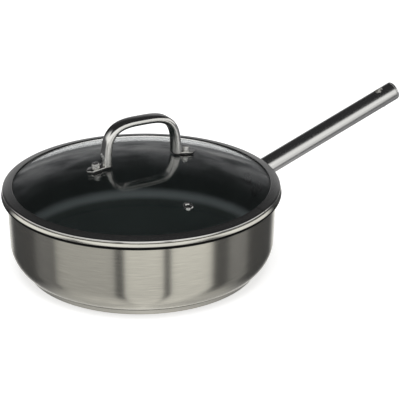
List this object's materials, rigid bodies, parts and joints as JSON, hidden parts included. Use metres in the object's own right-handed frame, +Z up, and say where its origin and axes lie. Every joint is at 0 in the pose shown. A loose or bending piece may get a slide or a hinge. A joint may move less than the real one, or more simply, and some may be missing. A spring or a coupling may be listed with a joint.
{
  "type": "frying pan with lid",
  "caption": "Deep round stainless frying pan with a dark non-stick inside, a straight tube handle with a hanging hole, and a domed glass lid with a steel band, vent and bow handle.",
  "frame": {"origin": "centre of the base's flat underside, on the pan's axis", "axes": "+Z up along the pan's axis, +X along the pan handle in plan"},
  "size_m": [0.4744, 0.2948, 0.1648],
  "materials": {
    "pan_steel": "stainless, brushed round the wall, polished at the rim",
    "nonstick": "dark satin non-stick layer",
    "base_aluminium": "plain, hidden",
    "base_steel": "satin stainless",
    "handle_steel": "satin stainless, polished along its length",
    "rivets": "steel under the dark non-stick layer",
    "band_steel": "polished stainless with a satin lip",
    "bow_steel": "polished stainless",
    "trim_steel": "polished stainless",
    "glass": "clear tempered glass",
    "silicone": "dark matt silicone"
  },
  "bodies": {
    "pan": {"pan_shell": "pan_steel", "nonstick_coating": "nonstick", "base_core": "base_aluminium", "base_cap": "base_steel", "handle_bracket": "handle_steel", "handle_rivet_1": "rivets", "handle_rivet_2": "rivets", "handle_rivet_3": "rivets", "handle_tube": "handle_steel", "hanging_sleeve": "trim_steel", "handle_end_cap": "handle_steel"},
    "lid": {"lid_glass": "glass", "lid_rim_band": "band_steel", "vent_eyelet": "trim_steel", "lid_handle": "bow_steel", "lid_screw_near_handle": "trim_steel", "foot_pad_near_handle": "silicone", "under_washer_near_handle": "silicone", "steel_washer_near_handle": "trim_steel", "cap_nut_near_handle": "trim_steel", "lid_screw_far_side": "trim_steel", "foot_pad_far_side": "silicone", "under_washer_far_side": "silicone", "steel_washer_far_side": "trim_steel", "cap_nut_far_side": "trim_steel"}
  },
  "joints": [
    {"name": "lid_lift", "type": "slide", "parent": "pan", "child": "lid", "axis": [0, 0, 1], "range_m": [0, 0.15]}
  ]
}
